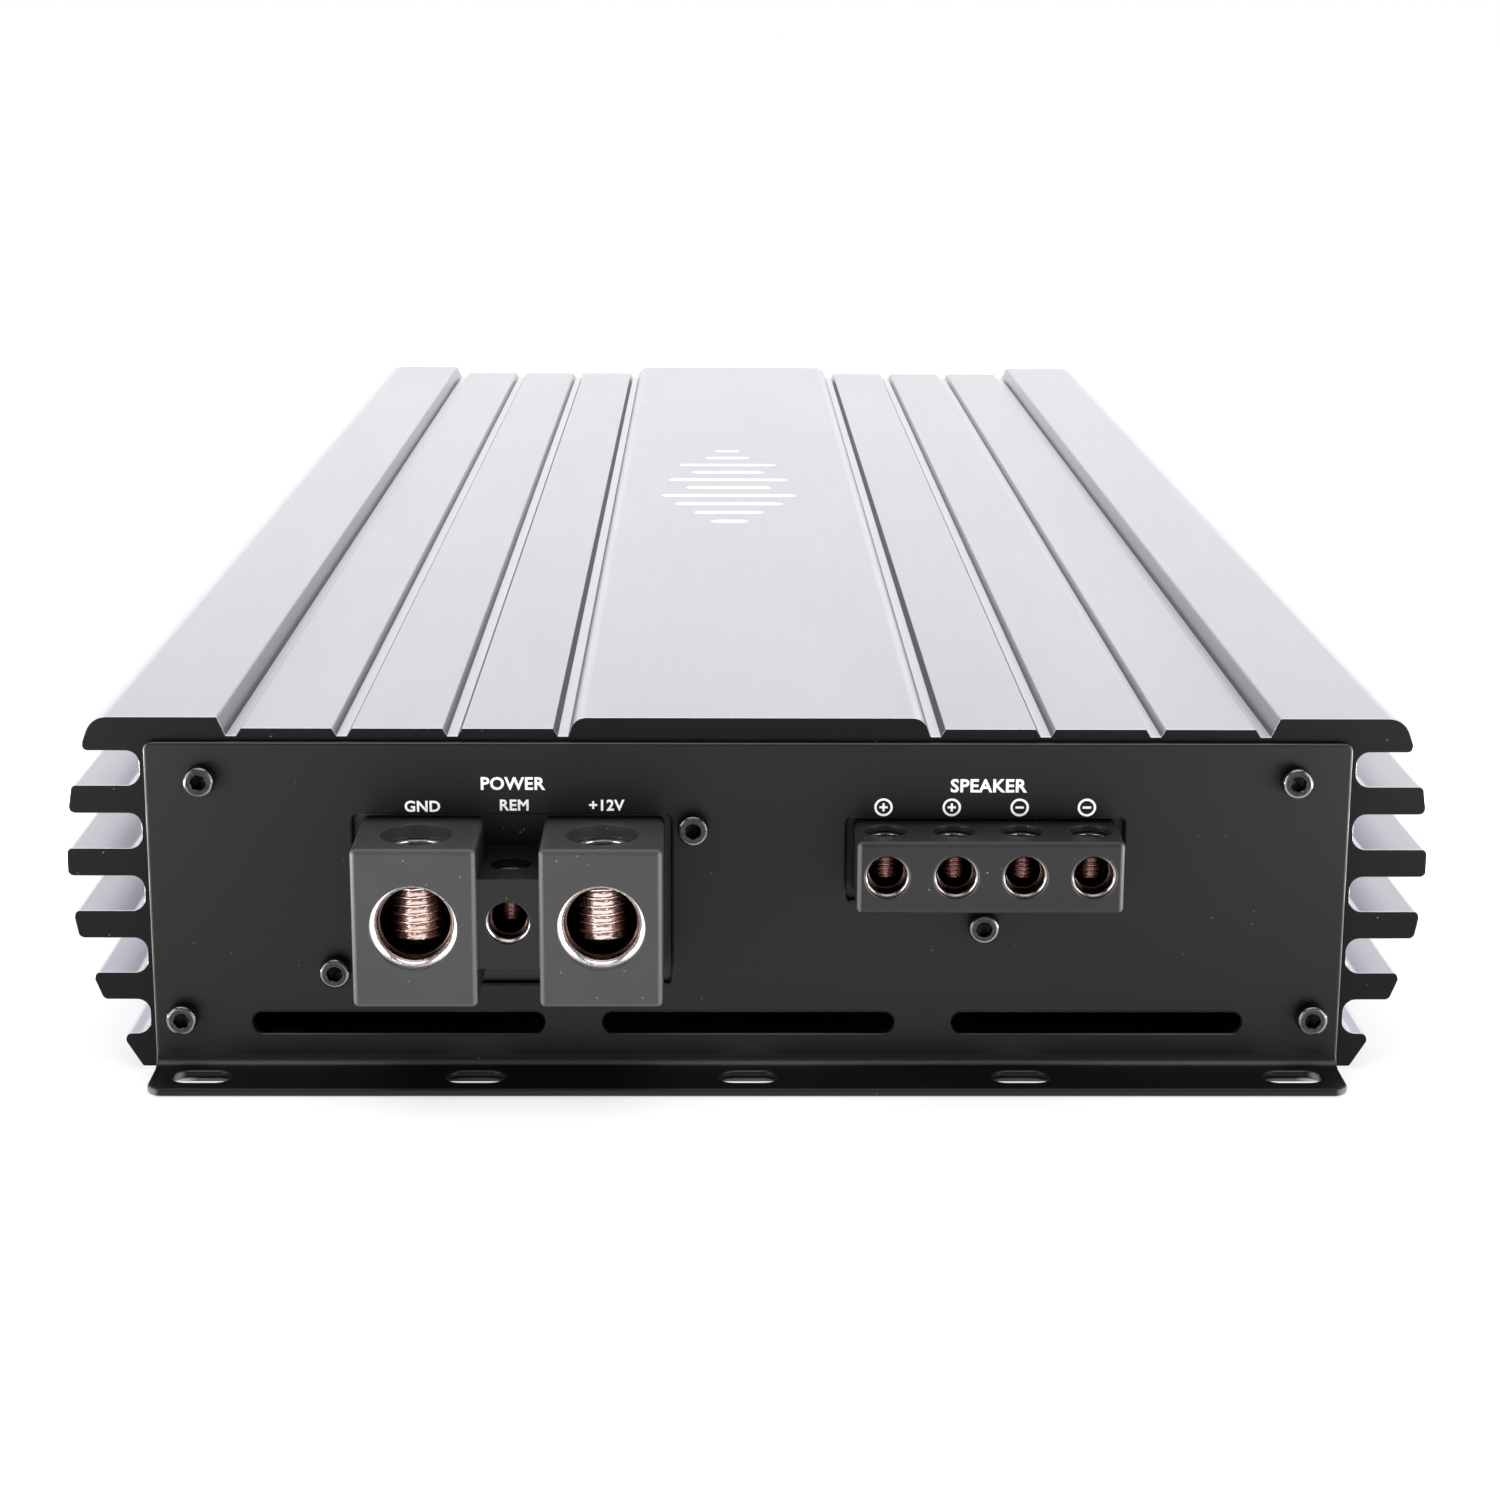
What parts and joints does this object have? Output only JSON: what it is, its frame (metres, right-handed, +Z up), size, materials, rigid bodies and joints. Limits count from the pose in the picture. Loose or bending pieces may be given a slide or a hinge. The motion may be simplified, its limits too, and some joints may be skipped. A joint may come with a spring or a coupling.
{
  "type": "car amplifier",
  "caption": "Long finned car audio amplifier with screw-clamp power and speaker terminals at one end, signal sockets and controls at the other, and slotted mounting flanges.",
  "frame": {"origin": "bottom centre of the bounding box, on the plane of the flanges' undersides", "axes": "+Z up; -Y points out of the power end; +X to the right of somebody facing the power end"},
  "size_m": [0.2408, 0.5314, 0.0653],
  "materials": {
    "brushed_anodised": "fine brushed clear anodising, dark cut ends",
    "black_panel": "satin black powder coat",
    "black_moulding": "satin moulded plastic",
    "nickel_plate": "bright nickel plate",
    "black_screw": "black oxide",
    "set_screw": "plated steel",
    "copper": "bare copper",
    "circuit_board": "green solder mask",
    "ferrite": "pressed ferrite",
    "capacitor_sleeve": "shrink sleeve",
    "film_capacitor": "potted box",
    "chip": "moulded epoxy",
    "insulator": "silicone pad",
    "steel_bar": "zinc plate",
    "brass": "turned brass",
    "rca_ring": "moulded ring",
    "indicator": "clear tinted lamp"
  },
  "bodies": {
    "chassis": {"heatsink": "brushed_anodised", "bottom_cover": "black_panel", "bottom_cover_screws": "black_screw", "power_end_panel": "black_panel", "power_panel_screws": "black_screw", "power_terminal_housing": "black_moulding", "speaker_terminal_housing": "black_moulding", "terminal_housing_screws": "black_screw", "bus_bars": "copper", "signal_end_panel": "black_panel", "signal_panel_screws": "black_screw", "rca_housing": "black_moulding", "rca_shells": "nickel_plate", "rca_insulators": "rca_ring", "rca_contacts": "nickel_plate", "remote_level_jack": "black_moulding", "potentiometer_bodies": "black_moulding", "slide_switch_bodies": "black_moulding", "status_lights": "indicator", "preamp_board": "circuit_board", "preamp_header": "black_moulding", "preamp_chips": "chip", "main_circuit_board": "circuit_board", "board_standoffs": "brass", "board_screws": "black_screw", "input_capacitors": "capacitor_sleeve", "rail_capacitors": "capacitor_sleeve", "film_capacitors": "film_capacitor", "transformer_cores": "ferrite", "transformer_windings": "copper", "input_choke_core": "ferrite", "input_choke_winding": "copper", "output_choke_cores": "ferrite", "output_choke_windings": "copper", "driver_boards": "circuit_board", "left_transistors": "chip", "right_transistors": "chip", "insulator_pads": "insulator", "clamp_bars": "steel_bar", "clamp_screws": "black_screw", "ground_terminal_body": "nickel_plate", "battery_terminal_body": "nickel_plate", "remote_terminal_body": "nickel_plate", "speaker_1_terminal_body": "nickel_plate", "speaker_2_terminal_body": "nickel_plate", "speaker_3_terminal_body": "nickel_plate", "speaker_4_terminal_body": "nickel_plate"},
    "ground_set_screw": {"ground_set_screw": "set_screw"},
    "battery_set_screw": {"battery_set_screw": "set_screw"},
    "remote_set_screw": {"remote_set_screw": "set_screw"},
    "speaker_1_set_screw": {"speaker_1_set_screw": "set_screw"},
    "speaker_2_set_screw": {"speaker_2_set_screw": "set_screw"},
    "speaker_3_set_screw": {"speaker_3_set_screw": "set_screw"},
    "speaker_4_set_screw": {"speaker_4_set_screw": "set_screw"},
    "level_knob": {"level_knob": "black_moulding"},
    "low_pass_knob": {"low_pass_knob": "black_moulding"},
    "subsonic_knob": {"subsonic_knob": "black_moulding"},
    "bass_boost_knob": {"bass_boost_knob": "black_moulding"},
    "mode_slider": {"mode_slider": "black_moulding"},
    "phase_slider": {"phase_slider": "black_moulding"}
  },
  "joints": [
    {"name": "ground_screw_lift", "type": "slide", "parent": "chassis", "child": "ground_set_screw", "axis": [0, 0, 1], "range_m": [0, 0.012]},
    {"name": "battery_screw_lift", "type": "slide", "parent": "chassis", "child": "battery_set_screw", "axis": [0, 0, 1], "range_m": [0, 0.012]},
    {"name": "remote_screw_lift", "type": "slide", "parent": "chassis", "child": "remote_set_screw", "axis": [0, 0, 1], "range_m": [0, 0.0056]},
    {"name": "speaker_1_screw_lift", "type": "slide", "parent": "chassis", "child": "speaker_1_set_screw", "axis": [0, 0, 1], "range_m": [0, 0.0056]},
    {"name": "speaker_2_screw_lift", "type": "slide", "parent": "chassis", "child": "speaker_2_set_screw", "axis": [0, 0, 1], "range_m": [0, 0.0056]},
    {"name": "speaker_3_screw_lift", "type": "slide", "parent": "chassis", "child": "speaker_3_set_screw", "axis": [0, 0, 1], "range_m": [0, 0.0056]},
    {"name": "speaker_4_screw_lift", "type": "slide", "parent": "chassis", "child": "speaker_4_set_screw", "axis": [0, 0, 1], "range_m": [0, 0.0056]},
    {"name": "level_knob_turn", "type": "hinge", "parent": "chassis", "child": "level_knob", "pos_m": [0, 0.25225, 0.036], "axis": [0, 1, 0], "range_deg": [-140, 140]},
    {"name": "low_pass_knob_turn", "type": "hinge", "parent": "chassis", "child": "low_pass_knob", "pos_m": [0.018, 0.25225, 0.036], "axis": [0, 1, 0], "range_deg": [-140, 140]},
    {"name": "subsonic_knob_turn", "type": "hinge", "parent": "chassis", "child": "subsonic_knob", "pos_m": [0.036, 0.25225, 0.036], "axis": [0, 1, 0], "range_deg": [-140, 140]},
    {"name": "bass_boost_knob_turn", "type": "hinge", "parent": "chassis", "child": "bass_boost_knob", "pos_m": [0.054, 0.25225, 0.036], "axis": [0, 1, 0], "range_deg": [-140, 140]},
    {"name": "mode_slider_travel", "type": "slide", "parent": "chassis", "child": "mode_slider", "axis": [1, 0, 0], "range_m": [0, 0.003]},
    {"name": "phase_slider_travel", "type": "slide", "parent": "chassis", "child": "phase_slider", "axis": [1, 0, 0], "range_m": [0, 0.003]}
  ]
}
